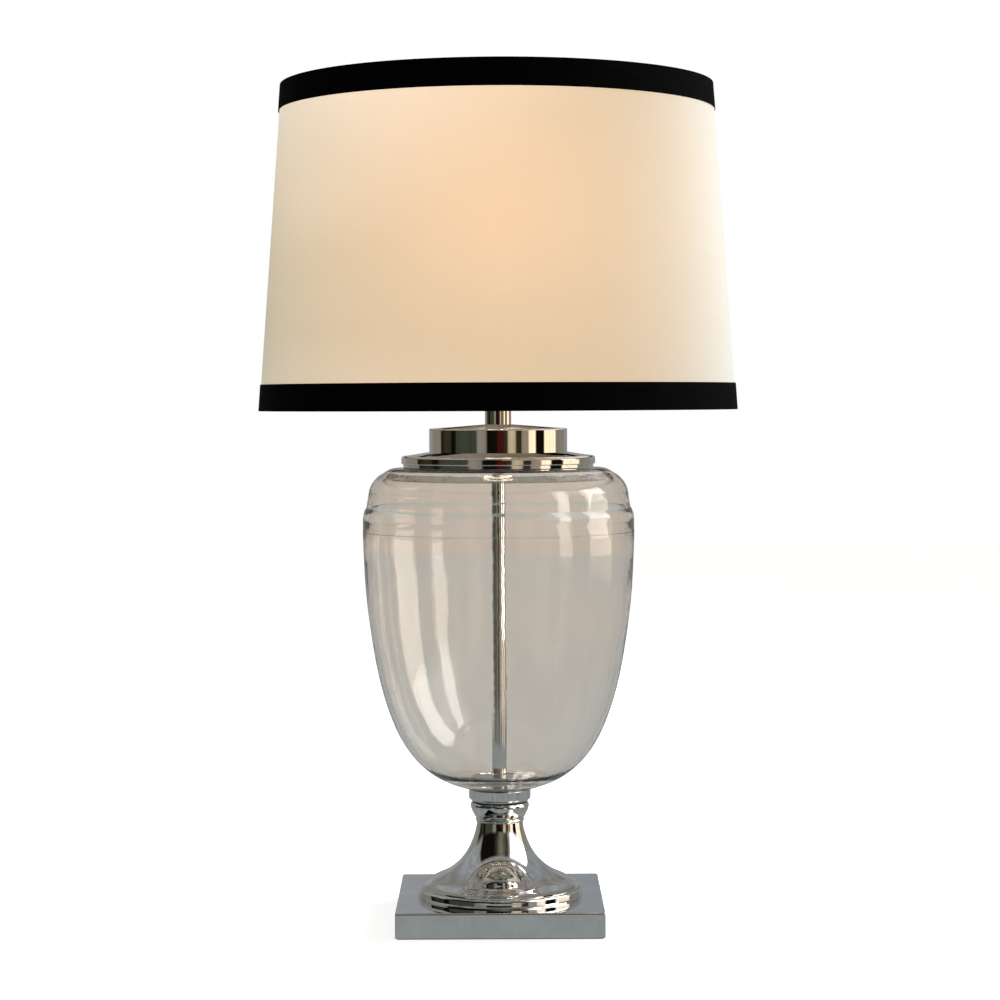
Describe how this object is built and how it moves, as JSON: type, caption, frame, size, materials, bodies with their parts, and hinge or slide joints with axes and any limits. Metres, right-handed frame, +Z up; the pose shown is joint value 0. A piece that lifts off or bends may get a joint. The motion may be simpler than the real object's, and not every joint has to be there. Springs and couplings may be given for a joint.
{
  "type": "table lamp",
  "caption": "Table lamp: clear glass urn on a flared chrome foot and square base, stepped chrome lid, lit cream drum shade with black ribbon bands.",
  "frame": {"origin": "middle of the felt pad's underside, on the table", "axes": "+Z up the lamp's axis; -Y the front, where the switch knob points; +Y the back, where the cord inlet is; +X the lamp's right seen from the front, in the plane of the harp"},
  "size_m": [0.3999, 0.4, 0.7126],
  "materials": {
    "polished_chrome": "mirror-polished plate",
    "cast_iron_weight": "rough black casting",
    "zinc_steel": "bright zinc plate",
    "black_felt": "felted",
    "black_rubber": "matte",
    "clear_gasket": "translucent, matte",
    "clear_glass": "clear, polished",
    "socket_nickel": "bright nickel plate",
    "socket_card": "pressed fibre board",
    "black_phenolic": "moulded, satin",
    "plain_brass": "bright brass",
    "knob_black": "moulded, glossy",
    "frosted_glass": "frosted white, lit",
    "stem_glass": "clear",
    "tungsten": "bare drawn wire",
    "cap_aluminium": "pressed, bright",
    "black_glass": "fused, glossy",
    "solder": "dull, domed",
    "harp_nickel": "nickel plate",
    "cream_linen": "plain linen weave",
    "shade_film": "translucent white film",
    "black_ribbon": "ribbed ribbon",
    "white_wire": "white enamel"
  },
  "bodies": {
    "lamp": {"base_cover": "polished_chrome", "base_weight": "cast_iron_weight", "closing_plate": "zinc_steel", "plate_screws": "zinc_steel", "felt_pad": "black_felt", "cord_grommet": "black_rubber", "tube_nut": "zinc_steel", "tube_lock_washer": "zinc_steel", "tube_washer": "zinc_steel", "lamp_tube": "zinc_steel", "flared_foot": "polished_chrome", "gap_washer": "black_rubber", "glass_cup": "polished_chrome", "lower_gasket": "clear_gasket", "glass_urn": "clear_glass", "inner_gasket": "clear_gasket", "inner_washer": "polished_chrome", "tube_sleeve": "polished_chrome", "upper_gasket": "clear_gasket", "lid_plate": "zinc_steel", "lid_washer": "zinc_steel", "lid_nut": "zinc_steel", "lid_disc": "polished_chrome", "lid_drum": "polished_chrome", "neck_tube": "polished_chrome", "neck_ring": "polished_chrome", "harp_saddle": "harp_nickel", "socket_cap": "socket_nickel", "socket_set_screw": "zinc_steel", "socket_shell": "socket_nickel", "socket_liner": "socket_card", "socket_body": "black_phenolic", "terminal_screws": "plain_brass", "screw_shell": "plain_brass", "centre_contact": "plain_brass"},
    "switch": {"switch_shaft": "plain_brass", "switch_knob": "knob_black"},
    "bulb": {"bulb_glass": "frosted_glass", "bulb_stem": "stem_glass", "bulb_filament": "tungsten", "bulb_cap": "cap_aluminium", "bulb_insulator": "black_glass", "bulb_tip": "solder"},
    "harp": {"harp_wire": "harp_nickel", "harp_stud": "plain_brass"},
    "ferrule_left": {"harp_ferrule_left": "harp_nickel"},
    "ferrule_right": {"harp_ferrule_right": "harp_nickel"},
    "shade": {"shade_liner": "shade_film", "shade_fabric": "cream_linen", "shade_top_trim": "black_ribbon", "shade_bottom_trim": "black_ribbon", "shade_top_ring": "white_wire", "spider_arms": "white_wire", "spider_hub": "white_wire", "shade_bottom_ring": "white_wire"},
    "finial": {"finial": "polished_chrome"}
  },
  "joints": [
    {"name": "switch_turn", "type": "hinge", "parent": "lamp", "child": "switch", "pos_m": [0, -0.03, 0.5115], "axis": [0, -1, 0], "continuous": true},
    {"name": "bulb_lift", "type": "slide", "parent": "lamp", "child": "bulb", "axis": [0, 0, 1], "range_m": [0, 0.035]},
    {"name": "harp_lift", "type": "slide", "parent": "lamp", "child": "harp", "axis": [0, 0, 1], "range_m": [0, 0.02]},
    {"name": "ferrule_left_slide", "type": "slide", "parent": "harp", "child": "ferrule_left", "axis": [0, 0, 1], "range_m": [0, 0.012]},
    {"name": "ferrule_right_slide", "type": "slide", "parent": "harp", "child": "ferrule_right", "axis": [0, 0, 1], "range_m": [0, 0.012]},
    {"name": "shade_swivel", "type": "hinge", "parent": "harp", "child": "shade", "pos_m": [0, 0, 0.688], "axis": [0, 0, 1], "continuous": true},
    {"name": "finial_lift", "type": "slide", "parent": "harp", "child": "finial", "axis": [0, 0, 1], "range_m": [0, 0.014]}
  ]
}
